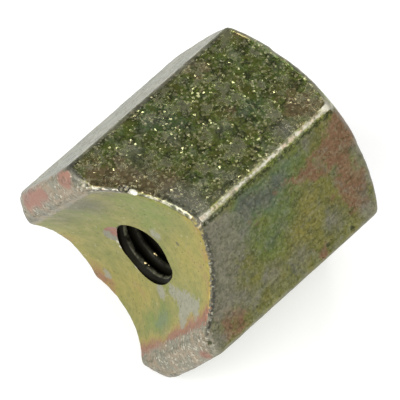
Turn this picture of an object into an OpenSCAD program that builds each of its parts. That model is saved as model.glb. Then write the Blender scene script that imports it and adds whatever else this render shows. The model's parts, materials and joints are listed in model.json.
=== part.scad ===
// Adjusting nut for a brake rod: a hexagon bar nut with a tapped through hole and,
// across one end, a half-round saddle that seats against the cross pin the rod runs through.
// The nut lies on one of its flats, with the rod along Y and the saddle at the -Y end.

/* [Hexagon] */
// Spanner size, from flat to opposite flat
across_flats = 17; // [14:0.5:24]
// Length from the tips of the saddle to the back face
body_length = 18; // [15:0.5:26]
// Radius along the six long corners
corner_radius = 0.4; // [0.1:0.05:0.8]

/* [End chamfers] */
// Angle of both turned chamfers, measured from the end faces
chamfer_angle = 30; // [20:1:40]
// Height of the chamfer at the corners, on the back face
back_chamfer_height = 1.05; // [0.3:0.05:2]
// Height of the chamfer at the corners, on the saddle's tips
tip_chamfer_height = 0.6; // [0.2:0.05:1.2]

/* [Saddle] */
// Diameter of the cross pin that the saddle seats against
pin_diameter = 16; // [14:0.5:20]
// Depth of the saddle, from its tips to its lowest line
saddle_depth = 3.2; // [2:0.05:4.5]

/* [Thread] */
// Nominal diameter of the thread
thread_diameter = 6; // [5:1:8]
// Pitch of the thread
thread_pitch = 1; // [0.8:0.05:1.25]
// How far the countersink on the back face reaches past the thread, all round
countersink_margin = 0.3; // [0.1:0.05:0.8]

/* [Hidden] */
$fn = 96;

// The plating's overall colour, a yellowish olive
plating = [0.55, 0.53, 0.36];
// The hexagon's corners are counted from +X, and the saddle runs through the second one
sides = 6;
corner_step = 360 / sides;
saddle_corner = 1;
// Radius of the circle through the hexagon's sharp corners
corner_circle_r = across_flats / 2 / cos(corner_step / 2);
// Radius of the circle on which the corner rounds are centred
round_centre_r = (across_flats / 2 - corner_radius) / cos(corner_step / 2);
// Radii of the flat lands that the chamfers leave on the two ends
back_land_r = corner_circle_r - back_chamfer_height / tan(chamfer_angle);
tip_land_r = corner_circle_r - tip_chamfer_height / tan(chamfer_angle);
saddle_r = pin_diameter / 2;
// Radius of the tapping drill, which leaves the crests of the thread
bore_r = (thread_diameter - thread_pitch) / 2;
// A right-angled countersink is as deep as it is wide
countersink_depth = thread_diameter / 2 + countersink_margin - bore_r;
// How far each cutter runs past the surface that it cuts
overrun = 1;

function on_circle(r, angle) = [r * cos(angle), r * sin(angle)];

// Section of the bar: six flats joined by round corners
module hex_section() {
    polygon([
        for (corner = [0 : sides - 1], side = [-1, 1])
            on_circle(round_centre_r, corner * corner_step)
            + on_circle(corner_radius, (corner + side / 2) * corner_step)
    ]);
    for (corner = [0 : sides - 1])
        translate(on_circle(round_centre_r, corner * corner_step))
            circle(r = corner_radius);
}

// Turned envelope with a chamfer at each end, standing on its back face
module turned_envelope() {
    reach = corner_circle_r + overrun;
    slope = tan(chamfer_angle);
    rotate_extrude()
        polygon([
            [0, -body_length / 2],
            [back_land_r, -body_length / 2],
            [reach, -body_length / 2 + (reach - back_land_r) * slope],
            [reach, body_length / 2 - (reach - tip_land_r) * slope],
            [tip_land_r, body_length / 2],
            [0, body_length / 2]
        ]);
}

// Cutter for the saddle: the cross pin itself, lying from corner to corner
module saddle_cutter() {
    translate([0, 0, body_length / 2 - saddle_depth + saddle_r])
        rotate([0, 90, saddle_corner * corner_step])
            cylinder(r = saddle_r, h = 2 * (corner_circle_r + overrun), center = true);
}

// Tapping drill, right through, with the countersink on the back face
module thread_cutter() {
    translate([0, 0, -body_length / 2 - overrun]) {
        cylinder(r = bore_r, h = body_length + 2 * overrun);
        cylinder(
            r1 = bore_r + countersink_depth + overrun,
            r2 = bore_r,
            h = countersink_depth + overrun
        );
    }
}

module adjusting_nut() {
    color(plating)
        rotate([90, 0, 0])
            difference() {
                intersection() {
                    translate([0, 0, -body_length / 2])
                        linear_extrude(body_length)
                            hex_section();
                    turned_envelope();
                }
                saddle_cutter();
                thread_cutter();
            }
}

adjusting_nut();
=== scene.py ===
import json
import math
from types import SimpleNamespace

import bmesh
import bpy
import numpy as np
from mathutils import Matrix, Vector, noise


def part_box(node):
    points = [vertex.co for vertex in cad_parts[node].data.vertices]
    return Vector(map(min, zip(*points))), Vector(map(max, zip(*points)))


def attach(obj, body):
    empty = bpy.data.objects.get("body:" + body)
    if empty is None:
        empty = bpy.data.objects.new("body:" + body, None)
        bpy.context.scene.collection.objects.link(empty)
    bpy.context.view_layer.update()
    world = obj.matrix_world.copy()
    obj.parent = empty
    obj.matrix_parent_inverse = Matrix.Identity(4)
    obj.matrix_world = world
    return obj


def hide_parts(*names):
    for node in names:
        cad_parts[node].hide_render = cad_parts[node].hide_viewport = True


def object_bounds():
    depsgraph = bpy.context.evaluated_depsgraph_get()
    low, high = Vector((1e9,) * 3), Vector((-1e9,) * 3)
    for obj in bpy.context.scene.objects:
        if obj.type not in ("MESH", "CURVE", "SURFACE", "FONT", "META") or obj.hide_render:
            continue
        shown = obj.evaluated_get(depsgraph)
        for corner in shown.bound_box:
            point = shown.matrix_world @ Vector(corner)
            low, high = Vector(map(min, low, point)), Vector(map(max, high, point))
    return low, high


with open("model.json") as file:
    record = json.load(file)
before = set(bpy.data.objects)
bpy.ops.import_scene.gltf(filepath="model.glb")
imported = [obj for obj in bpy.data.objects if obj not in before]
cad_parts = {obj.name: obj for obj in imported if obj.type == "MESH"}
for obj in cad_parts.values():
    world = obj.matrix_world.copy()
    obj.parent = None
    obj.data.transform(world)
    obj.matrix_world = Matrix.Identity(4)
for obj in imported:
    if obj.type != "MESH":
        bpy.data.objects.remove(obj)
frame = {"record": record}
cad_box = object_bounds()

# The nut is modelled in millimetres, in the CAD frame, and made metres at the end
MM = 0.001

# Sizes that the frame gives
nut_low, nut_high = (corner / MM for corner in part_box("adjusting_nut"))
mounts = {mount["name"]: mount for mount in frame["record"]["mounts"]}
ACROSS_FLATS = nut_high.z - nut_low.z
TIP_Y = nut_low.y
BACK_Y = nut_high.y
LENGTH = BACK_Y - TIP_Y
SADDLE_BOTTOM_Y = mounts["pin_saddle"]["pos_m"][1] / MM
BORE_RADIUS = mounts["rod_thread"]["dims"]["r_mm"]

# The rest of the nut's sizes
SIDES = 6
CORNER_CIRCLE = ACROSS_FLATS / 2 / math.cos(math.pi / SIDES)
PIN_RADIUS = 8.0
CHAMFER_SLOPE = math.tan(math.radians(30))
BACK_CHAMFER_HEIGHT = 1.05
TIP_CHAMFER_HEIGHT = 0.6
BACK_LAND = CORNER_CIRCLE - BACK_CHAMFER_HEIGHT / CHAMFER_SLOPE
TIP_LAND = CORNER_CIRCLE - TIP_CHAMFER_HEIGHT / CHAMFER_SLOPE
THREAD_RADIUS = 3.0
THREAD_PITCH = 1.0
# Where the groove opens into the saddle, as a turn round Y from +X
THREAD_START = math.radians(109)
COUNTERSINK_MARGIN = 0.3
COUNTERSINK_RADIUS = THREAD_RADIUS + COUNTERSINK_MARGIN
OVERRUN = 1.0

# The saddle runs through the corner between the upper flat and the right-hand one
ALONG_SADDLE = Vector((0.5, 0, math.sqrt(3) / 2))
ACROSS_SADDLE = Vector((-math.sqrt(3) / 2, 0, 0.5))
PIN_AXIS_Y = SADDLE_BOTTOM_Y - PIN_RADIUS

# The scoop in the saddle that leaves a crescent beside the bore
SCOOP_ALONG = -1.6
SCOOP_ACROSS = 2.25
SCOOP_RADIUS = 1.6
SCOOP_STRETCH = 2.0
SCOOP_DEPTH = 0.15

# Dents that hold grime, and chips that shine: centre, radius and depth
DENTS = [
    ((0.55, -6.75, 8.4), 0.28, 0.09),
    ((1.0, -6.5, 8.4), 0.22, 0.08),
    ((1.75, -6.25, 8.4), 0.2, 0.08),
    ((2.75, -6.0, 8.4), 0.3, 0.10),
    ((3.3, -5.95, 8.4), 0.24, 0.09),
    ((3.9, -5.85, 8.4), 0.28, 0.10),
    ((-2.9, -9.0, 8.4), 0.2, 0.08),
    ((-2.0, -8.5, 8.4), 0.2, 0.08),
    ((9.55, 5.4, 0.45), 0.26, 0.16),
    ((9.4, 3.05, 0.7), 0.24, 0.12),
    ((8.9, -8.8, 0.9), 0.3, 0.12),
    ((9.0, -2.9, 1.4), 0.22, 0.06),
    ((2.6, 3.2, 8.5), 0.5, 0.05),
    ((-1.8, 1.5, 8.5), 0.6, 0.04),
]
CHIPS = [
    ((1.3, -6.4, 8.35), 0.3, 0.12),
    ((2.15, -6.15, 8.35), 0.35, 0.14),
    ((-2.8, -8.9, 8.3), 0.6, 0.20),
]

# What made a face, as the plating reads it
MADE_BY_CHIP = 0.1
MADE_BY_NICK = 0.25
MADE_BY_SCOOP = 0.5
MADE_BY_TAP = 1.0

# Knocks: place on an edge, the way it faces, radius, depth and what it is made by. They are a nick in
# the saddle's upper rim, a dint beside it and a chip off the corner where the saddle meets the ridge
KNOCKS = [
    ((-0.1, -7.05, 8.5), (0.43, -0.63, 0.645), 0.6, 0.3, MADE_BY_NICK),
    ((-0.65, -7.15, 8.5), (-0.25, -0.25, 0.935), 0.5, 0.25, MADE_BY_CHIP),
    (
        (CORNER_CIRCLE / 2, SADDLE_BOTTOM_Y, ACROSS_FLATS / 2), (0.25, -0.87, 0.43),
        1.5, 0.42, MADE_BY_CHIP,
    ),
]

# Spacing of the finished skin's points
SKIN_SPACING = 0.15
# Wear: how wide edges are rounded, at least and mostly, and how much less on the saddle's upper rim
EDGE_LEAST = 0.12
EDGE_MOSTLY = 0.42
UPPER_RIM_SHARPER = 0.1
# A dent this deep is full of grime
GRIMY_DEPTH = 0.1
# How the skin is drawn onto the worn shape: passes, the step that finds its slope, the farthest move
WEAR_PASSES = 4
SLOPE_STEP = 0.01
FARTHEST_MOVE = 0.6
# Smooth shading breaks where faces meet at more than this
SHARP_ANGLE = math.radians(45)


def piece_from(bm, name):
    """A new object in the scene from a finished bmesh."""
    bmesh.ops.recalc_face_normals(bm, faces=bm.faces[:])
    mesh = bpy.data.meshes.new(name)
    bm.to_mesh(mesh)
    bm.free()
    piece = bpy.data.objects.new(name, mesh)
    bpy.context.scene.collection.objects.link(piece)
    return piece


def settle(piece):
    """Makes what the piece's modifiers show its own mesh."""
    graph = bpy.context.evaluated_depsgraph_get()
    finished = bpy.data.meshes.new_from_object(piece.evaluated_get(graph))
    piece.modifiers.clear()
    old = piece.data
    piece.data = finished
    bpy.data.meshes.remove(old)


def mark_faces(piece, value):
    """Notes on each face what made it."""
    mark = piece.data.attributes.new("made_by", "FLOAT", "FACE")
    mark.data.foreach_set("value", [value] * len(piece.data.polygons))


def machine(blank, tool, operation="DIFFERENCE", mark=0.0):
    """Cuts the blank with a tool, which is then put away."""
    mark_faces(tool, mark)
    cut = blank.modifiers.new("cut", "BOOLEAN")
    cut.object = tool
    cut.operation = operation
    cut.solver = "EXACT"
    settle(blank)
    bpy.data.objects.remove(tool)


def lay_along_y(bm):
    """Turns what was made upright so that its top points along -Y."""
    bmesh.ops.rotate(bm, matrix=Matrix.Rotation(math.pi / 2, 3, "X"), verts=bm.verts[:])


def hexagon_bar():
    bm = bmesh.new()
    bmesh.ops.create_cone(
        bm, cap_ends=True, segments=SIDES,
        radius1=CORNER_CIRCLE, radius2=CORNER_CIRCLE, depth=LENGTH,
    )
    bmesh.ops.rotate(bm, matrix=Matrix.Rotation(math.pi / SIDES, 3, "Z"), verts=bm.verts[:])
    lay_along_y(bm)
    return piece_from(bm, "hexagon_bar")


def turned(outline, name, steps=192):
    """A body of revolution round Y from (radius, y) points."""
    bm = bmesh.new()
    points = [bm.verts.new((radius, y, 0)) for radius, y in outline]
    edges = [bm.edges.new(pair) for pair in zip(points, points[1:])]
    bmesh.ops.spin(
        bm, geom=points + edges, cent=(0, 0, 0), axis=(0, 1, 0),
        angle=math.tau, steps=steps, use_merge=True,
    )
    bmesh.ops.remove_doubles(bm, verts=bm.verts[:], dist=1e-5)
    return piece_from(bm, name)


def chamfered_envelope():
    reach = CORNER_CIRCLE + OVERRUN
    return turned(
        [
            (0, TIP_Y),
            (TIP_LAND, TIP_Y),
            (reach, TIP_Y + (reach - TIP_LAND) * CHAMFER_SLOPE),
            (reach, BACK_Y - (reach - BACK_LAND) * CHAMFER_SLOPE),
            (BACK_LAND, BACK_Y),
            (0, BACK_Y),
        ],
        "chamfered_envelope",
    )


def saddle_cutter():
    bm = bmesh.new()
    bmesh.ops.create_cone(
        bm, cap_ends=True, segments=256,
        radius1=PIN_RADIUS, radius2=PIN_RADIUS, depth=2 * (CORNER_CIRCLE + OVERRUN),
    )
    turn = Vector((0, 0, 1)).rotation_difference(ALONG_SADDLE).to_matrix()
    bmesh.ops.rotate(bm, matrix=turn, verts=bm.verts[:])
    bmesh.ops.translate(bm, vec=(0, PIN_AXIS_Y, 0), verts=bm.verts[:])
    return piece_from(bm, "saddle_cutter")


def ball_cutter(centre, radius, stretch=1.0):
    """A ball, stretched along the saddle."""
    bm = bmesh.new()
    bmesh.ops.create_icosphere(bm, subdivisions=5, radius=radius)
    bmesh.ops.transform(bm, matrix=Matrix.Scale(stretch, 4, ALONG_SADDLE), verts=bm.verts[:])
    bmesh.ops.translate(bm, vec=centre, verts=bm.verts[:])
    return piece_from(bm, "ball_cutter")


def scoop_cutter():
    pin_centre = Vector((0, PIN_AXIS_Y, 0)) + SCOOP_ALONG * ALONG_SADDLE
    behind_pin = math.sqrt(PIN_RADIUS**2 - SCOOP_ACROSS**2)
    from_pin = Vector((0, behind_pin, 0)) + SCOOP_ACROSS * ACROSS_SADDLE
    centre = pin_centre + from_pin.normalized() * (PIN_RADIUS + SCOOP_DEPTH - SCOOP_RADIUS)
    return ball_cutter(centre, SCOOP_RADIUS, SCOOP_STRETCH)


def tapping_drill():
    deep = COUNTERSINK_RADIUS - BORE_RADIUS
    return turned(
        [
            (0, TIP_Y - OVERRUN),
            (BORE_RADIUS, TIP_Y - OVERRUN),
            (BORE_RADIUS, BACK_Y - deep),
            (COUNTERSINK_RADIUS + OVERRUN, BACK_Y + OVERRUN),
            (0, BACK_Y + OVERRUN),
        ],
        "tapping_drill",
        steps=96,
    )


def tap():
    """The thread's groove: a 60 degree tooth carried round the rod's axis, one pitch a turn.
    It flares where it leaves the bore, so that the crests between its turns are round."""
    steps_a_turn = 48
    root_half = THREAD_PITCH / 16
    flare_radius = BORE_RADIUS + 0.08
    flare_half = root_half + (THREAD_RADIUS - flare_radius) * math.tan(math.radians(30))
    crest_half = 0.05
    mouth_half = THREAD_PITCH / 2 - crest_half
    profile = [
        (BORE_RADIUS - 0.1, mouth_half),
        (BORE_RADIUS, mouth_half),
        (flare_radius, flare_half),
        (THREAD_RADIUS, root_half),
    ]
    start = SADDLE_BOTTOM_Y - 2 * THREAD_PITCH
    turns = math.ceil((BACK_Y + OVERRUN - start) / THREAD_PITCH)
    bm = bmesh.new()
    tooth = bm.faces.new(
        [bm.verts.new((radius, start - half, 0)) for radius, half in profile]
        + [bm.verts.new((radius, start + half, 0)) for radius, half in reversed(profile)]
    )
    bmesh.ops.rotate(bm, matrix=Matrix.Rotation(THREAD_START, 3, "Y"), verts=bm.verts[:])
    bmesh.ops.spin(
        bm, geom=[tooth], cent=(0, 0, 0), axis=(0, 1, 0), angle=math.tau * turns,
        steps=steps_a_turn * turns, dvec=(0, THREAD_PITCH / steps_a_turn, 0),
    )
    return piece_from(bm, "tap")


def even_skin(nut):
    """One even net of points over the whole nut."""
    remesh = nut.modifiers.new("skin", "REMESH")
    remesh.mode = "VOXEL"
    remesh.voxel_size = SKIN_SPACING
    settle(nut)


def round_join(a, b, width):
    """The lesser of two depths, rounded where they are within a width of each other."""
    share = np.clip(1 - np.abs(a - b) / width, 0, None)
    return np.minimum(a, b) - share**2 * width / 4


def depth_in_nut(points, width):
    """How deep each point lies under the worn outside of the nut, and how near it is to an edge."""
    x, y, z = points.T
    radius = np.hypot(x, z)
    across = points @ np.array(ACROSS_SADDLE)
    surfaces = [
        ACROSS_FLATS / 2 - x * math.cos(turn) - z * math.sin(turn)
        for turn in (math.tau * (side + 0.5) / SIDES for side in range(SIDES))
    ]
    cosine = 1 / math.hypot(1, CHAMFER_SLOPE)
    surfaces += [
        np.hypot(across, y - PIN_AXIS_Y) - PIN_RADIUS,
        y - TIP_Y,
        BACK_Y - y,
        (y - TIP_Y - (radius - TIP_LAND) * CHAMFER_SLOPE) * cosine,
        (BACK_Y - y - (radius - BACK_LAND) * CHAMFER_SLOPE) * cosine,
    ]
    surfaces = np.sort(np.array(surfaces), axis=0)[:4]
    depth = surfaces[0]
    for surface in surfaces[1:]:
        depth = round_join(depth, surface, width)
    return depth, surfaces[0] - depth


def nearness(points, centre, reach):
    """1 at a place, fading to 0 with distance from it."""
    return np.exp(-np.sum(((points - np.array(centre)) / reach) ** 2, axis=1))


def noise_over(points, scale):
    return np.array([noise.noise(Vector(point) * scale) for point in points])


def edge_width(points):
    """How far wear has rounded each edge: unevenly, and least on the saddle's upper rim."""
    width = EDGE_MOSTLY + 0.15 * noise_over(points, 0.6) + 0.10 * noise_over(points, 2.1)
    near_top = nearness(points[:, 2:], [ACROSS_FLATS / 2], 1.0)
    upper_rim = near_top * nearness(points[:, 1:2], [TIP_Y + 2], 1.6)
    return (width - UPPER_RIM_SHARPER * upper_rim).clip(EDGE_LEAST, None)


def wear(nut):
    """Rounds and dents the outside of the nut, and notes where its edges are."""
    mesh = nut.data
    count = len(mesh.vertices)
    points = np.empty(count * 3, np.float32)
    mesh.vertices.foreach_get("co", points)
    points = points.reshape(-1, 3).astype(float)
    normals = np.empty(count * 3, np.float32)
    mesh.vertices.foreach_get("normal", normals)
    normals = normals.reshape(-1, 3).astype(float)

    width = edge_width(points)
    sunk = 0.012 * (1 + noise_over(points, 0.9)) + 0.006 * (1 + noise_over(points, 2.7))
    for centre, radius, depth in DENTS + CHIPS:
        sunk += depth * nearness(points, centre, radius)
    pit = np.zeros(count)
    for centre, radius, depth in DENTS:
        pit = np.maximum(pit, nearness(points, centre, radius) * min(1, depth / GRIMY_DEPTH))
    for _ in range(WEAR_PASSES):
        depth, _ = depth_in_nut(points, width)
        slope = np.stack([
            (depth_in_nut(points + shift, width)[0] - depth_in_nut(points - shift, width)[0])
            / (2 * SLOPE_STEP)
            for shift in np.eye(3) * SLOPE_STEP
        ], axis=1)
        length = np.linalg.norm(slope, axis=1).clip(0.3, None)
        facing = -np.sum(normals * slope, axis=1) / length
        share = np.clip((facing - 0.55) / 0.35, 0, 1) * (np.abs(depth) < FARTHEST_MOVE)
        points -= slope * (share * (depth - sunk) / length**2)[:, None]

    edge = depth_in_nut(points, width)[1] / (width / 4)
    mesh.vertices.foreach_set("co", points.astype(np.float32).ravel())
    for name, values in (("edge", edge), ("pit", pit)):
        mark = mesh.attributes.new(name, "FLOAT", "POINT")
        mark.data.foreach_set("value", values.clip(0, 1).astype(np.float32))


def adjusting_nut():
    nut = hexagon_bar()
    machine(nut, chamfered_envelope(), "INTERSECT")
    machine(nut, saddle_cutter())
    even_skin(nut)
    wear(nut)
    mark_faces(nut, 0.0)
    machine(nut, scoop_cutter(), mark=MADE_BY_SCOOP)
    for edge, facing, radius, depth, mark in KNOCKS:
        centre = Vector(edge) + Vector(facing) * (radius - depth)
        machine(nut, ball_cutter(centre, radius), mark=mark)
    machine(nut, tapping_drill(), mark=MADE_BY_TAP)
    machine(nut, tap(), mark=MADE_BY_TAP)
    nut.name = nut.data.name = "plated_nut"
    nut.data.transform(Matrix.Scale(MM, 4))
    nut.data.polygons.foreach_set("use_smooth", [True] * len(nut.data.polygons))
    nut.data.set_sharp_from_angle(angle=SHARP_ANGLE)
    nut.data.update()
    return nut


# Colours that the passivation film goes through as it thickens, as linear reflectances
FILM = [
    (0.00, (0.31, 0.155, 0.115)),
    (0.16, (0.34, 0.23, 0.10)),
    (0.34, (0.35, 0.315, 0.10)),
    (0.50, (0.265, 0.27, 0.095)),
    (0.66, (0.225, 0.28, 0.09)),
    (0.80, (0.19, 0.265, 0.15)),
    (1.00, (0.17, 0.195, 0.185)),
]
ROSE = FILM[0][1]
ZINC = (0.30, 0.295, 0.225)
DULL_ZINC = (0.25, 0.245, 0.185)
DIM_SADDLE = (0.13, 0.125, 0.075)
DULL_FLAT = (0.19, 0.178, 0.14)
RED_BROWN = (0.205, 0.098, 0.066)
PALE_BROWN = (0.27, 0.185, 0.105)
SMEAR = (0.275, 0.275, 0.165)
GLINT = (0.72, 0.66, 0.38)
TIP_TAN = (0.30, 0.245, 0.17)
TIP_GREY = (0.245, 0.23, 0.175)
BARE_AND_HIGHLIGHT = (0.54, 0.52, 0.43)
WARM_BARE_AND_HIGHLIGHT = (0.50, 0.37, 0.25)
GRIME_AND_SHADE = (0.04, 0.048, 0.02)
RIM_GREY = (0.085, 0.083, 0.066)
BURR_GOLD = (0.30, 0.24, 0.12)
OILED = (0.008, 0.0075, 0.0045)
CREST = (0.11, 0.107, 0.072)
# How much darker the milled saddle and the drawn flats are than the film
SADDLE_SHADE = (0.93, 0.91, 0.76)
FLAT_SHADE = (0.58, 0.57, 0.48)
UPPER_SHADE = (0.60, 0.65, 0.43)

# Places with a thinner or thicker film: centre and radius in mm, change in thickness
SADDLE_FILM = [
    ((-4.4, -5.7, -8.2), 3.4, -0.46),
    ((-6.9, -6.6, -4.6), 2.4, -0.26),
    ((3.4, -7.4, -4.1), 2.1, 0.36),
    ((1.9, -7.0, -5.8), 2.4, 0.14),
    ((0.6, -6.1, 6.1), 4.0, 0.14),
    ((4.2, -5.9, 3.7), 3.2, -0.16),
    ((-0.3, -6.0, -5.0), 3.6, -0.18),
    ((-4.7, -7.4, 2.6), 3.6, 0.10),
]
UPPER_FLAT_FILM = [
    ((-2.7, -1.0, 8.5), 2.4, 0.28),
    ((0.9, 3.9, 8.5), 2.0, 0.22),
]
RIGHT_FLAT_FILM = [
    ((5.7, 1.6, 7.1), 1.6, 0.40),
    ((5.9, 0.0, 6.8), 1.9, 0.50),
    ((5.6, -1.7, 7.2), 1.9, 0.50),
    ((6.4, -2.8, 5.9), 2.6, 0.30),
    ((6.8, 1.0, 5.2), 2.4, 0.26),
    ((7.5, -1.0, 4.0), 2.6, 0.26),
    ((5.8, 3.1, 6.9), 2.4, 0.24),
    ((8.0, 1.8, 3.1), 2.6, -0.12),
    ((7.4, 3.6, 4.2), 2.0, -0.08),
]
# Places gone brown: centre and radius in mm, amount
BROWNED = [
    ((-3.2, -7.5, 8.5), 2.8, 0.8),
    ((-1.0, -6.6, 8.5), 2.8, 0.9),
    ((1.4, -6.0, 8.5), 2.6, 0.8),
    ((0.6, -4.4, 8.5), 2.4, 0.5),
    ((-2.6, -4.6, 8.5), 1.8, 0.4),
    ((3.4, 6.3, 8.5), 3.0, 1.0),
    ((-4.1, 3.7, 8.5), 1.8, 0.7),
    ((6.2, 7.6, 6.2), 2.8, 1.0),
    ((6.3, 6.0, 6.0), 2.0, 0.7),
    ((6.6, 4.3, 5.6), 2.0, 0.6),
    ((8.0, 6.7, 3.1), 3.0, 0.9),
    ((8.8, 7.1, 1.8), 2.2, 0.5),
    ((9.1, -6.5, 1.3), 2.4, 0.8),
    ((8.2, -7.4, 2.9), 2.0, 0.4),
    ((9.5, 2.4, 0.5), 1.4, 0.9),
]
# Places gone to dull grey: centre and radius in mm, amount
GREYED = [
    ((5.4, -5.2, 7.6), 2.2, 0.7),
    ((5.6, -3.4, 7.3), 1.6, 0.5),
    ((6.5, -4.8, 5.6), 3.2, 0.9),
    ((6.4, -2.6, 5.9), 2.2, 0.4),
    ((8.0, -6.3, 3.1), 3.0, 0.9),
    ((8.7, -2.0, 1.9), 1.7, 0.7),
    ((8.9, 0.6, 1.5), 1.7, 0.7),
    ((8.7, 4.3, 1.9), 1.8, 0.7),
    ((9.4, 7.2, 0.7), 1.7, 0.9),
    ((9.3, -8.2, 0.9), 1.5, 0.9),
    ((8.9, -4.5, 1.5), 1.8, 0.6),
    ((8.4, 8.4, 2.4), 1.2, 0.9),
    ((7.0, 8.4, 4.9), 1.2, 0.8),
    ((7.6, 8.3, 3.9), 1.3, 0.6),
    ((5.4, 4.8, 7.7), 1.3, 0.6),
    ((2.6, -5.2, 8.5), 2.6, 0.8),
    ((4.2, -1.5, 8.5), 1.8, 0.6),
    ((3.6, 4.0, 8.5), 1.4, 0.8),
    ((-0.9, -1.9, 8.5), 1.2, 0.6),
    ((-1.2, -5.2, 8.5), 1.8, 0.5),
]
# Places where the film has rubbed through to grey zinc: centre and radius in mm, amount
RUBBED = [
    ((2.1, -6.4, -2.4), 1.0, 0.9),
    ((3.3, -6.5, -0.9), 1.0, 0.8),
    ((4.4, -6.8, -0.3), 1.3, 0.9),
    ((5.4, -7.1, 0.5), 1.4, 0.9),
    ((6.4, -7.5, 1.3), 1.2, 0.9),
    ((5.3, -7.5, -0.9), 1.3, 0.9),
    ((1.0, -5.8, 3.1), 1.0, 0.7),
    ((-3.6, -5.8, -6.7), 0.8, 0.8),
]
# Dimmer, greyer places in the saddle, most of all towards the left tip: centre and radius in mm, amount
SADDLE_DIMMED = [
    ((-4.4, -7.8, 4.4), 3.8, 1.00),
    ((-5.2, -8.3, 4.0), 1.8, 0.50),
    ((-6.2, -7.6, 0.4), 3.2, 0.60),
    ((-2.0, -7.6, 7.4), 1.6, 0.70),
    ((1.0, -5.75, 2.8), 1.4, 0.50),
    ((3.2, -7.4, -3.8), 2.6, 0.40),
]
# Paler places on the upper flat, most of them by the ridge, where they are a painted highlight
# spreading from it: centre and radius in mm, amount
PALER_AND_SHEEN = [
    ((4.2, -5.2, 8.5), 1.8, 0.9),
    ((4.6, -3.0, 8.5), 1.2, 0.6),
    ((4.7, 0.4, 8.5), 0.9, 0.5),
    ((4.2, 4.3, 8.5), 1.3, 0.8),
    ((4.4, 2.2, 8.5), 0.9, 0.5),
    ((3.0, -5.9, 8.5), 1.2, 0.5),
    ((3.2, -4.4, 8.5), 2.0, 0.5),
    ((1.8, -5.2, 8.5), 1.6, 0.4),
    ((0.6, 1.2, 8.5), 1.2, 0.4),
    ((-3.4, -1.6, 8.5), 1.2, 0.4),
    ((-4.1, -8.5, 8.5), 1.0, 0.5),
    ((-2.6, -4.6, 8.5), 1.8, 0.45),
]
# Rose places on the tips: centre and radius in mm, amount
TIP_ROSE = [
    ((-4.9, -9.0, 7.5), 1.4, 1.2),
    ((-6.9, -9.0, 3.6), 1.3, 0.8),
    ((-7.7, -9.0, 2.2), 1.5, 0.9),
    ((-8.4, -9.0, 0.9), 1.3, 0.8),
    ((8.7, -9.0, -0.8), 0.9, 0.9),
]
# Specks on the bore's lip painted bright: painted glints where its burr catches the light; centre and
# radius in mm, amount
LIP_GLINTS = [
    ((-2.45, -5.95, -1.25), 0.3, 1.0),
    ((-2.25, -5.9, -1.75), 0.3, 1.0),
    ((-1.6, -5.8, -2.4), 0.22, 0.7),
    ((-0.8, -5.85, -2.8), 0.3, 1.0),
    ((-0.4, -5.85, -2.85), 0.2, 0.7),
]
# Dark stains in the saddle: centre and radius in mm, amount
STAINS = [
    ((3.1, -5.8, 4.1), 0.32, 1.0),
    ((-0.9, -6.6, 6.6), 0.25, 0.7),
]
# Burrs on the thread that catch the light from the mouth, listed likewise, and the way they lean
BORE_GLINTS = [
    ((-0.4, -5.3, -2.5), 0.18, 1.0),
    ((-0.1, -5.25, -2.5), 0.12, 0.8),
    ((-0.45, -4.26, -2.46), 0.2, 0.9),
    ((-0.25, -4.25, -2.49), 0.15, 0.8),
]
BURR_LEAN = (0, -0.75, -0.2)
# Bright places on the saddle's upper rim and at the ridge's ends: partly bare chips, partly painted
# highlight; centre and radius in mm, amount
RIM_CHIPS_AND_HIGHLIGHTS = [
    ((0.0, -7.0, 8.3), 0.7, 1.0),
    ((1.2, -6.45, 8.3), 0.6, 0.8),
    ((2.2, -6.15, 8.3), 0.7, 0.9),
    ((3.7, -5.8, 8.3), 0.8, 0.4),
    ((4.8, -5.5, 8.3), 0.9, 1.2),
    ((-2.9, -8.8, 8.3), 0.6, 0.8),
    ((4.7, 7.7, 8.3), 1.0, 1.2),
]
# The values that a field of noise mostly stays between
NOISE_LOW = 0.3
NOISE_HIGH = 0.7
# How far grains lean: most of them, and the few that stand out
LYING_GRAIN = 0.07
STANDING_GRAIN = 0.85
GRIT_HEIGHT = 0.04 * MM


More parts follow.
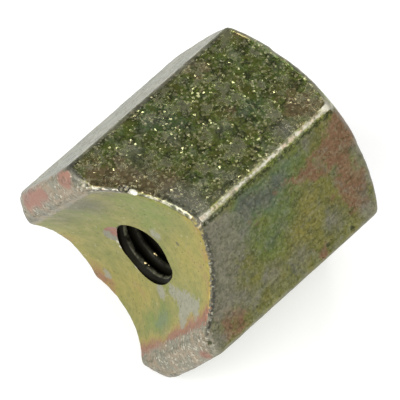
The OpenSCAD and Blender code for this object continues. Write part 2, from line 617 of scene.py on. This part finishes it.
class Finish:
    """A material in the making: each method adds a step and returns what comes out of it."""

    def __init__(self, name):
        self.material = bpy.data.materials.new(name)
        self.material.use_nodes = True
        self.tree = self.material.node_tree
        self.shader = self.tree.nodes["Principled BSDF"]

    def feed(self, socket, value):
        if isinstance(value, bpy.types.NodeSocket):
            self.tree.links.new(value, socket)
        elif socket.type == "RGBA":
            socket.default_value = (*value, 1)
        else:
            socket.default_value = value

    def step(self, kind, inputs, out=0, **settings):
        node = self.tree.nodes.new(kind)
        for name, setting in settings.items():
            setattr(node, name, setting)
        for socket, value in inputs.items():
            self.feed(node.inputs[socket], value)
        return node.outputs[out]

    def place(self):
        """Millimetres in the nut's own frame."""
        coordinates = self.step("ShaderNodeTexCoord", {}, out="Object")
        return self.vector("SCALE", coordinates, scale=1 / MM)

    def vector(self, operation, a, b=(0, 0, 0), scale=None):
        inputs = {0: a, 1: b} if scale is None else {0: a, "Scale": scale}
        out = "Value" if operation in ("DOT_PRODUCT", "DISTANCE", "LENGTH") else "Vector"
        return self.step("ShaderNodeVectorMath", inputs, out, operation=operation)

    def maths(self, operation, a, b=0.0, c=0.0):
        return self.step("ShaderNodeMath", {0: a, 1: b, 2: c}, operation=operation)

    def noise(self, place, scale, detail=3.0, roughness=0.55, out="Fac"):
        inputs = {"Vector": place, "Scale": scale, "Detail": detail, "Roughness": roughness}
        return self.step("ShaderNodeTexNoise", inputs, out)

    def fade(self, value, off, on, low=0.0, high=1.0):
        """Goes smoothly from low where the value is off to high where it is on."""
        inputs = {"Value": value, "From Min": off, "From Max": on, "To Min": low, "To Max": high}
        return self.step("ShaderNodeMapRange", inputs, interpolation_type="SMOOTHSTEP")

    def swing(self, field, low, high):
        """Goes from low to high over the values that a field of noise mostly has."""
        return self.fade(field, NOISE_LOW, NOISE_HIGH, low, high)

    def mix(self, share, a, b):
        return self.step("ShaderNodeMix", {0: share, 6: a, 7: b}, out=2, data_type="RGBA")

    def tint(self, colour, shade):
        inputs = {0: 1.0, 6: colour, 7: shade}
        return self.step("ShaderNodeMix", inputs, out=2, data_type="RGBA", blend_type="MULTIPLY")

    def attribute(self, name):
        return self.step("ShaderNodeAttribute", {}, "Fac", attribute_name=name)

    def astray(self, place, scale, reach, detail):
        """A place moved off by noise, so that what is laid out there gets an uneven outline."""
        shift = self.noise(place, scale, detail, roughness=0.65, out="Color")
        shift = self.vector("ADD", shift, (-0.5, -0.5, -0.5))
        return self.vector("ADD", place, self.vector("SCALE", shift, scale=reach))

    def flecks(self, place, scale, amount):
        """Small dots, one in some of the cells of a loose net."""
        cells = self.tree.nodes.new("ShaderNodeTexVoronoi")
        self.feed(cells.inputs["Vector"], place)
        cells.inputs["Scale"].default_value = scale
        chosen = self.vector("DOT_PRODUCT", cells.outputs["Color"], (1, 0, 0))
        dot = self.fade(cells.outputs["Distance"], 0.24, 0.14)
        return self.both(dot, self.fade(chosen, 0.55, 0.95, 0.0, amount))

    def blend(self, share, a, b):
        return self.step("ShaderNodeMix", {0: share, 2: a, 3: b})

    def both(self, a, b):
        return self.maths("MULTIPLY", a, b)

    def without(self, a):
        return self.maths("SUBTRACT", 1.0, a)

    def under_flat(self, place, degrees):
        """Depth under the flat that faces this way round Y."""
        turn = math.radians(degrees)
        out = self.vector("DOT_PRODUCT", place, (math.cos(turn), 0, math.sin(turn)))
        return self.maths("SUBTRACT", ACROSS_FLATS / 2, out)

    def spots(self, place, marks, value, soft=1.0):
        """Adds each mark's amount to a value, fading to nothing at the mark's radius."""
        for centre, radius, amount in marks:
            away = self.vector("DISTANCE", place, centre)
            value = self.maths("ADD", value, self.fade(away, radius, radius * (1 - soft), 0.0, amount))
        return value

    def bands(self, value, stops):
        node = self.tree.nodes.new("ShaderNodeValToRGB")
        self.feed(node.inputs[0], value)
        ramp = node.color_ramp
        while len(ramp.elements) < len(stops):
            ramp.elements.new(1.0)
        for element, (position, colour) in zip(ramp.elements, stops):
            element.position = position
            element.color = (*colour, 1)
        return node.outputs[0]


def survey(f):
    """What the plating goes by: where a point lies on the nut, and fields of noise to vary it with."""
    at = SimpleNamespace()
    here = at.here = f.place()
    at.wandering = f.astray(here, 0.45, 2.0, 2.0)
    at.torn = f.astray(here, 2.4, 1.4, 4.0)
    at.broad = f.noise(here, 0.22, 2.0)
    at.patchy = f.noise(here, 0.9, 4.0, 0.6)
    at.fine = f.noise(here, 4.5, 3.0, 0.6)
    at.plateaus = f.fade(f.noise(at.torn, 1.0, 4.0, 0.65), 0.53, 0.62)
    at.drawn = f.noise(f.vector("MULTIPLY", here, (1, 0.22, 1)), 3.4, 4.0, 0.6)
    at.grains = f.step("ShaderNodeTexVoronoi", {"Vector": here, "Scale": 6.5}, "Color")
    at.pick = f.vector("DOT_PRODUCT", at.grains, (0, 0, 1))
    at.standing = f.fade(at.pick, 0.80, 0.86)

    at.along_rod = f.vector("DOT_PRODUCT", here, (0, 1, 0))
    at.across = f.vector("DOT_PRODUCT", here, tuple(ACROSS_SADDLE))
    at.from_axis = f.vector("LENGTH", f.vector("MULTIPLY", here, (1, 0, 1)))
    from_pin = f.step(
        "ShaderNodeCombineXYZ", {0: at.across, 1: f.maths("SUBTRACT", at.along_rod, PIN_AXIS_Y)},
    )
    at.over_pin = f.maths("SUBTRACT", f.vector("LENGTH", from_pin), PIN_RADIUS)
    at.under_right = f.under_flat(here, 30)
    at.on_right = f.fade(at.under_right, 0.7, 0.3)
    at.under_upper = f.under_flat(here, 90)
    at.on_upper = f.fade(at.under_upper, 0.7, 0.3)
    at.edge = f.attribute("edge")
    at.pit = f.attribute("pit")
    at.burrs = f.fade(f.spots(here, BORE_GLINTS, 0.0), 0.2, 0.6)
    made_by = f.attribute("made_by")
    at.in_bore = f.fade(made_by, 0.7, 0.8)
    at.in_scoop = f.both(f.fade(made_by, 0.38, 0.45), f.without(at.in_bore))
    at.in_nick = f.both(f.fade(made_by, 0.15, 0.2), f.fade(made_by, 0.4, 0.3))
    at.in_chip = f.both(f.fade(made_by, 0.04, 0.08), f.fade(made_by, 0.15, 0.12))
    at.in_saddle = f.maths("MAXIMUM", f.fade(at.over_pin, 0.32, 0.16), at.in_scoop)
    ragged_end = f.maths("MULTIPLY_ADD", at.fine, -1.2, at.along_rod)
    on_tip = f.fade(ragged_end, TIP_Y + 0.05, TIP_Y - 0.15)
    # The tips' scraped grey runs a little way along the saddle's upper rim
    past_tip = f.maths("SUBTRACT", at.along_rod, TIP_Y)
    from_corner = f.both(f.maths("SUBTRACT", at.under_upper, 0.3), f.maths("SUBTRACT", past_tip, 0.3))
    scraped = f.both(f.fade(from_corner, 0.30, 0.22), f.fade(past_tip, 2.1, 1.6))
    at.on_tip = f.maths("MAXIMUM", on_tip, f.both(scraped, at.in_saddle))
    at.milled = f.maths("MAXIMUM", f.maths("MAXIMUM", at.in_saddle, at.on_tip), at.in_bore)
    ragged = f.both(at.fine, 0.5)
    beside_rim = f.fade(f.maths("ADD", at.over_pin, ragged), 0.80, 0.62)
    over_rim = f.fade(f.maths("ADD", at.under_right, ragged), 0.46, 0.36)
    at.on_right_rim = f.both(f.both(beside_rim, over_rim), f.fade(at.under_upper, 0.6, 1.2))
    return at


def flat_film(f, at):
    """Film on the drawn flats: broad clouds, the upper flat green with brown ends, the right-hand
    one blue-grey by the saddle, then green and olive, with red-brown patches at the back."""
    clouds = f.maths("ADD", f.swing(at.broad, 0.36, 0.80), f.swing(at.patchy, -0.06, 0.06))
    upper = f.spots(at.wandering, UPPER_FLAT_FILM, f.swing(at.patchy, 0.46, 0.76))
    right = f.spots(at.wandering, RIGHT_FLAT_FILM, f.swing(at.patchy, 0.42, 0.54))
    thickness = f.blend(at.on_upper, clouds, upper)
    thickness = f.blend(at.on_right, thickness, right)
    film = f.tint(f.bands(thickness, FILM), f.mix(at.on_upper, FLAT_SHADE, UPPER_SHADE))
    uneven = f.maths("SUBTRACT", f.noise(at.torn, 1.3, 6.0, 0.7), 0.5)
    browned = f.spots(at.wandering, BROWNED, f.fade(at.broad, 0.42, 0.30, 0.0, 0.5))
    browned = f.fade(f.maths("MULTIPLY_ADD", uneven, 2.6, browned), 0.30, 0.80)
    film = f.mix(f.both(browned, 0.8), film, f.mix(at.on_upper, RED_BROWN, PALE_BROWN))
    greyed = f.spots(at.torn, GREYED, f.fade(at.patchy, 0.50, 0.70, 0.0, 0.5))
    greyed = f.maths("ADD", greyed, f.both(f.fade(f.under_flat(at.here, 150), 0.5, 0.2), 0.6))
    greyed = f.maths("ADD", greyed, f.both(f.fade(at.over_pin, 1.6, 0.6, 0.0, 0.4), at.on_right))
    film = f.mix(f.fade(greyed, 0.0, 1.0, 0.0, 0.85), film, DULL_FLAT)

    # Lines left by drawing, and the pits and smears of the gritty upper flat
    film = f.mix(f.fade(at.drawn, 0.48, 0.34, 0.0, 0.4), film, GRIME_AND_SHADE)
    film = f.mix(f.fade(at.drawn, 0.56, 0.70, 0.0, 0.35), film, DULL_FLAT)
    pits = f.fade(f.noise(at.torn, 1.5, 5.0, 0.65), 0.53, 0.38)
    pits = f.both(pits, f.fade(browned, 0.0, 1.0, 1.0, 0.4))
    film = f.mix(f.both(pits, f.blend(at.on_upper, 0.35, 0.9)), film, GRIME_AND_SHADE)
    film = f.mix(f.both(at.plateaus, f.blend(at.on_upper, 0.2, 0.72)), film, SMEAR)
    grain = f.vector("DOT_PRODUCT", at.grains, (1, 0, 0))
    film = f.mix(f.fade(grain, 0.5, 0.0, 0.0, 0.3), film, GRIME_AND_SHADE)
    film = f.mix(f.fade(grain, 0.6, 1.0, 0.0, 0.25), film, SMEAR)
    # Paler places; those by the ridge are a painted highlight spreading from it
    film = f.mix(f.fade(f.spots(at.torn, PALER_AND_SHEEN, 0.0), 0.0, 1.0, 0.0, 0.7), film, ZINC)
    # Standing grains on the upper flat painted pale: a painted glint
    glinting = f.both(at.standing, f.fade(at.under_upper, 0.3, 0.15, 0.0, 0.35))
    return f.mix(f.both(glinting, f.without(at.plateaus)), film, GLINT)


def saddle_film(f, at):
    """Film in the milled saddle: yellow and green, orange and rose towards the ends, with places
    rubbed through to grey."""
    thickness = f.spots(at.wandering, SADDLE_FILM, f.swing(at.patchy, 0.42, 0.56))
    thickness = f.maths("ADD", thickness, f.fade(at.under_right, 2.0, 0.4, 0.0, -0.22))
    across_torn = f.vector("DOT_PRODUCT", at.torn, tuple(ACROSS_SADDLE))
    across_mean = f.maths("MULTIPLY_ADD", across_torn, 0.6, f.both(at.across, 0.4))
    thickness = f.maths("ADD", thickness, f.fade(across_mean, -4.7, -6.0, 0.0, -0.55))
    film = f.tint(f.bands(thickness, FILM), SADDLE_SHADE)
    # Darker, greyer places, most of all towards the left tip
    dimmed = f.spots(at.wandering, SADDLE_DIMMED, 0.0)
    film = f.mix(f.fade(dimmed, 0.0, 1.0, 0.0, 0.85), film, DIM_SADDLE)
    flaking = f.maths("SUBTRACT", f.noise(at.here, 2.2, 6.0, 0.78), 0.5)
    rubbed = f.maths("MULTIPLY_ADD", flaking, 2.2, f.spots(at.here, RUBBED, 0.0))
    film = f.mix(f.fade(rubbed, 0.20, 0.55, 0.0, 0.9), film, ZINC)
    along = f.vector("DOT_PRODUCT", at.torn, tuple(ALONG_SADDLE))
    film = f.mix(at.in_scoop, film, f.mix(f.fade(along, -1.9, -2.2), ROSE, DULL_ZINC))
    # Specks on the bore's lip painted bright: painted glints
    film = f.mix(f.fade(f.spots(at.here, LIP_GLINTS, 0.0), 0.2, 0.5), film, BARE_AND_HIGHLIGHT)
    film = f.mix(f.fade(f.spots(at.here, STAINS, 0.0), 0.1, 0.7, 0.0, 0.7), film, RIM_GREY)
    film = f.mix(f.fade(f.noise(at.here, 3.2, 4.0, 0.7), 0.52, 0.36, 0.0, 0.24), film, GRIME_AND_SHADE)
    film = f.mix(f.flecks(at.here, 2.0, 0.3), film, BARE_AND_HIGHLIGHT)
    return f.mix(f.flecks(at.here, 3.0, 0.75), film, GRIME_AND_SHADE)


def tip_film(f, at):
    """Scraped tips: tan and grey, with smooth rose places, dark specks and bare grains painted bright
    as glints.
    """
    film = f.mix(f.fade(f.noise(at.here, 0.8, 4.0, 0.6), 0.44, 0.56), TIP_TAN, TIP_GREY)
    blotched = f.maths("SUBTRACT", f.noise(at.here, 0.7, 3.0, 0.5), 0.5)
    rose = f.maths("MULTIPLY_ADD", blotched, 0.5, f.spots(at.here, TIP_ROSE, 0.0))
    rose = f.fade(rose, 0.10, 0.7, 0.0, 0.85)
    film = f.mix(f.fade(f.noise(at.here, 4.0, 5.0, 0.8), 0.50, 0.34, 0.0, 0.85), film, GRIME_AND_SHADE)
    film = f.mix(rose, film, ROSE)
    edging = f.both(f.fade(at.edge, 0.1, 0.5), f.fade(at.fine, 0.54, 0.42, 0.0, 0.4))
    film = f.mix(edging, film, GRIME_AND_SHADE)
    # Standing grains painted bright: a painted glint
    glinting = f.both(at.standing, f.fade(at.patchy, 0.4, 0.6, 0.15, 0.65))
    return f.mix(f.both(glinting, f.without(rose)), film, BARE_AND_HIGHLIGHT)


def edge_film(f, at, film):
    """Edges: dull where they are handled; bare and bright along the frayed ridge, the upper flat's back
    edge, the saddle's upper rim and its chips, partly wear and partly painted highlight;
    painted shade just above and below that rim and grey at the tip's corner; dark specks under the
    ridge, partly grime and partly painted shade; dark and rough on the right-hand rim, and grime in the
    pits."""
    worn = f.both(f.fade(at.edge, 0.25, 0.7), f.fade(f.noise(at.here, 1.6, 4.0, 0.65), 0.30, 0.52))
    film = f.mix(f.both(worn, f.fade(at.on_tip, 0.0, 1.0, 0.5, 0.1)), film, DULL_FLAT)
    # Bare and bright along the ridge, the upper flat's back edge, the chips and the saddle's upper rim:
    # partly worn metal, partly painted highlight
    chips = f.spots(at.torn, RIM_CHIPS_AND_HIGHLIGHTS, 0.0)
    ridge = f.maths("MAXIMUM", at.on_right, f.fade(at.along_rod, BACK_Y - 1.6, BACK_Y - 1.0, 0.0, 0.3))
    fraying = f.noise(at.here, 2.6, 4.0, 0.7)
    frayed = f.maths("MULTIPLY_ADD", fraying, 1.6, f.maths("SUBTRACT", at.edge, 0.8))
    ridge = f.both(f.both(ridge, f.fade(frayed, 0.30, 0.75)), f.fade(at.fine, 0.38, 0.56))
    ridge = f.both(ridge, f.fade(at.patchy, 0.36, 0.56, 0.7, 1.0))
    chips = f.both(chips, f.fade(at.edge, 0.12, 0.4))
    # Painted shade: a dark line on the upper flat just above the saddle's rim
    shade = f.both(f.fade(at.over_pin, 0.8, 0.5), f.fade(at.over_pin, 0.28, 0.4))
    shade = f.both(f.both(shade, at.on_upper), f.fade(at.fine, 0.56, 0.44, 0.0, 0.7))
    film = f.mix(shade, film, GRIME_AND_SHADE)
    # Under the ridge on the right-hand flat: dark specks, partly grime and partly a painted shade line
    under_ridge = f.both(f.fade(at.under_upper, 0.74, 0.52), f.fade(at.under_upper, 0.28, 0.44))
    under_ridge = f.both(f.both(under_ridge, at.on_right), f.fade(at.fine, 0.57, 0.46, 0.0, 0.9))
    film = f.mix(under_ridge, film, GRIME_AND_SHADE)
    # Painted shadow: a grey line on the saddle just under its upper rim
    lip_shade = f.both(f.fade(at.edge, 0.02, 0.15), f.fade(at.over_pin, 0.22, 0.12))
    lip_shade = f.both(lip_shade, f.fade(at.under_upper, 0.9, 0.6))
    lip_shade = f.both(lip_shade, f.fade(at.fine, 0.66, 0.46, 0.2, 0.7))
    film = f.mix(lip_shade, film, RIM_GREY)
    rim_line = f.both(f.fade(at.edge, 0.3, 0.6), f.fade(at.over_pin, 0.5, 0.3))
    rim_line = f.both(rim_line, f.fade(at.fine, 0.44, 0.54))
    bright = f.both(at.on_upper, f.maths("MAXIMUM", f.maths("MAXIMUM", ridge, chips), rim_line))
    bright = f.both(bright, f.fade(at.across, 7.6, 7.1))
    warm = f.fade(f.noise(at.here, 1.4, 3.0), 0.50, 0.62, 0.0, 0.7)
    film = f.mix(f.both(bright, 0.85), film, f.mix(warm, BARE_AND_HIGHLIGHT, WARM_BARE_AND_HIGHLIGHT))
    # Painted shade: the edge at the tip's corner darkened grey
    shaded_tip_corner = f.both(f.fade(at.across, 6.9, 7.4), f.fade(at.along_rod, TIP_Y + 1.4, TIP_Y + 0.9))
    shaded_tip_corner = f.both(f.both(shaded_tip_corner, at.on_upper), f.fade(at.edge, 0.05, 0.3, 0.0, 0.85))
    film = f.mix(shaded_tip_corner, film, RIM_GREY)
    film = f.mix(at.in_nick, film, BARE_AND_HIGHLIGHT)
    film = f.mix(f.both(at.in_chip, f.fade(at.fine, 0.62, 0.42, 0.3, 0.9)), film, RIM_GREY)
    film = f.mix(f.both(at.on_right_rim, f.fade(at.fine, 0.60, 0.50, 0.3, 0.95)), film, RIM_GREY)
    film = f.mix(f.both(at.on_right_rim, f.fade(at.pick, 0.84, 0.88, 0.0, 0.5)), film, ZINC)
    dirty = f.maths("MULTIPLY_ADD", at.fine, 1.4, at.pit)
    return f.mix(f.fade(dirty, 1.05, 1.45, 0.0, 0.85), film, GRIME_AND_SHADE)


def thread_film(f, at):
    """An oiled thread with crests rubbed paler and painted paler still as a highlight, dimming deeper
    in the bore as painted shade, and a few bare burrs.
    """
    # The crests painted paler, partly rubbed metal and partly painted highlight, and dimmer deeper in
    # the bore as painted shade
    crest = f.fade(at.from_axis, BORE_RADIUS + 0.1, BORE_RADIUS + 0.04)
    crest = f.both(crest, f.fade(at.along_rod, SADDLE_BOTTOM_Y + 1.6, SADDLE_BOTTOM_Y + 0.6, 0.2, 1.0))
    film = f.mix(f.both(crest, f.fade(at.patchy, 0.36, 0.62)), OILED, CREST)
    return f.mix(at.burrs, film, BURR_GOLD)


def zinc_plating():
    """Yellow-passivated zinc: a film of shifting colour on drawn flats and a milled saddle."""
    f = Finish("zinc_plating")
    at = survey(f)
    film = f.mix(at.in_saddle, flat_film(f, at), saddle_film(f, at))
    film = f.mix(at.on_tip, film, tip_film(f, at))
    film = edge_film(f, at, film)
    film = f.mix(at.in_bore, film, thread_film(f, at))
    f.feed(f.shader.inputs["Base Color"], film)
    # Oil hides the metal in the bore, all but the burrs
    oily = f.both(at.in_bore, f.without(at.burrs))
    f.feed(f.shader.inputs["Metallic"], f.without(oily))
    f.shader.inputs["Specular IOR Level"].default_value = 0.03

    flat_rough = f.blend(
        at.on_upper, f.swing(at.patchy, 0.32, 0.42), f.swing(at.patchy, 0.20, 0.30),
    )
    rough = f.blend(at.milled, flat_rough, f.swing(at.patchy, 0.38, 0.48))
    rough = f.blend(f.fade(at.edge, 0.2, 0.6), rough, 0.44)
    rough = f.blend(at.in_bore, rough, f.swing(at.fine, 0.22, 0.32))
    f.feed(f.shader.inputs["Roughness"], rough)

    # Grit, each grain leaning its own way: most on the upper flat and the rims, least on milled faces
    upper_grit = f.fade(at.patchy, 0.36, 0.56, 0.4, 1.0)
    upper_grit = f.both(upper_grit, f.fade(at.plateaus, 0.0, 1.0, 1.0, 0.3))
    grit = f.blend(at.milled, f.blend(at.on_upper, 0.65, upper_grit), 0.05)
    grit = f.maths("MAXIMUM", grit, f.both(at.on_tip, 0.6))
    grit = f.both(grit, f.fade(at.edge, 0.15, 0.6, 1.0, 0.5))
    grit = f.maths("MAXIMUM", grit, at.on_right_rim)
    relief = f.both(f.noise(at.here, 3.0, 4.0, 0.6), grit)
    bump = f.step("ShaderNodeBump", {"Height": relief, "Distance": GRIT_HEIGHT, "Strength": 1.0})
    lean = f.vector("ADD", at.grains, (-0.5, -0.5, -0.5))
    steepness = f.blend(at.standing, LYING_GRAIN, STANDING_GRAIN)
    lean = f.vector("SCALE", lean, scale=f.both(grit, steepness))
    lean = f.vector("ADD", lean, f.vector("SCALE", BURR_LEAN, scale=f.both(at.burrs, at.in_bore)))
    f.feed(f.shader.inputs["Normal"], f.vector("NORMALIZE", f.vector("ADD", bump, lean)))
    return f.material


# The floor's radius in metres, and how much the paper on it glows
FLOOR_RADIUS = 1.5
PAPER_GLOW = 0.33

# Camera: where the photograph was taken from, and how large the nut stands in it
CAMERA_AZIMUTH = math.radians(42.15)
CAMERA_ELEVATION = math.radians(56.0)
CAMERA_ROLL = math.radians(-0.87)
CAMERA_DISTANCE = 490.7
PHOTO_SIDE = 400
PIXELS_PER_MM = 14.181
# Where the nut's centre lies in the photograph, right of and below the middle, in mm
CENTRE_RIGHT = 0.074
CENTRE_DOWN = 0.072


def camera():
    data = bpy.data.cameras.new("camera")
    data.sensor_width = 36.0
    data.lens = data.sensor_width / PHOTO_SIDE * PIXELS_PER_MM * CAMERA_DISTANCE
    data.clip_start = 0.01
    data.clip_end = 10
    taker = bpy.data.objects.new("camera", data)
    bpy.context.scene.collection.objects.link(taker)
    back = Vector((
        math.sin(CAMERA_AZIMUTH) * math.cos(CAMERA_ELEVATION),
        -math.cos(CAMERA_AZIMUTH) * math.cos(CAMERA_ELEVATION),
        math.sin(CAMERA_ELEVATION),
    ))
    level = back.to_track_quat("Z", "Y").to_matrix()
    aim = level @ Matrix.Rotation(-CAMERA_ROLL, 3, "Z")
    place = aim @ Vector((-CENTRE_RIGHT, CENTRE_DOWN, CAMERA_DISTANCE))
    taker.matrix_world = Matrix.Translation(place * MM) @ aim.to_4x4()
    bpy.context.scene.camera = taker


def floor():
    bm = bmesh.new()
    bmesh.ops.create_circle(bm, cap_ends=True, segments=96, radius=FLOOR_RADIUS)
    bmesh.ops.translate(bm, vec=(0, 0, cad_box[0].z), verts=bm.verts[:])
    slab = piece_from(bm, "floor")
    paper = bpy.data.materials.new("white_paper")
    paper.use_nodes = True
    shader = paper.node_tree.nodes["Principled BSDF"]
    shader.inputs["Base Color"].default_value = (0.75, 0.75, 0.75, 1)
    shader.inputs["Roughness"].default_value = 0.9
    # The paper lies on a light table
    shader.inputs["Emission Color"].default_value = (1, 1, 1, 1)
    shader.inputs["Emission Strength"].default_value = PAPER_GLOW
    slab.data.materials.append(paper)


def lamp(name, direction, distance, size, power):
    """A round softbox that faces the nut: distance and size in metres, power in watts."""
    data = bpy.data.lights.new(name, "AREA")
    data.shape = "DISK"
    data.size = size
    data.energy = power
    light = bpy.data.objects.new(name, data)
    bpy.context.scene.collection.objects.link(light)
    towards = Vector(direction).normalized()
    light.location = towards * distance
    light.rotation_euler = towards.to_track_quat("Z", "Y").to_euler()


def studio():
    world = bpy.data.worlds.new("studio")
    world.use_nodes = True
    world.node_tree.nodes["Background"].inputs["Color"].default_value = (0.48, 0.48, 0.48, 1)
    bpy.context.scene.world = world
    lamp("overhead_softbox", (0.55, 0.35, 0.8), 1.0, 1.1, 5.5)
    lamp("front_left_softbox", (-0.40, -0.80, 0.48), 1.0, 0.9, 9.0)
    lamp("front_right_softbox", (0.45, -0.78, 0.42), 1.0, 0.8, 5.0)
    lamp("back_glint_lamp", (-0.42, 0.74, 0.5), 0.6, 0.12, 0.4)
    bpy.context.scene.view_settings.view_transform = "Standard"


camera()
floor()
studio()
nut = adjusting_nut()
nut.data.materials.clear()
nut.data.materials.append(zinc_plating())
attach(nut, "root")
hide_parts("adjusting_nut")
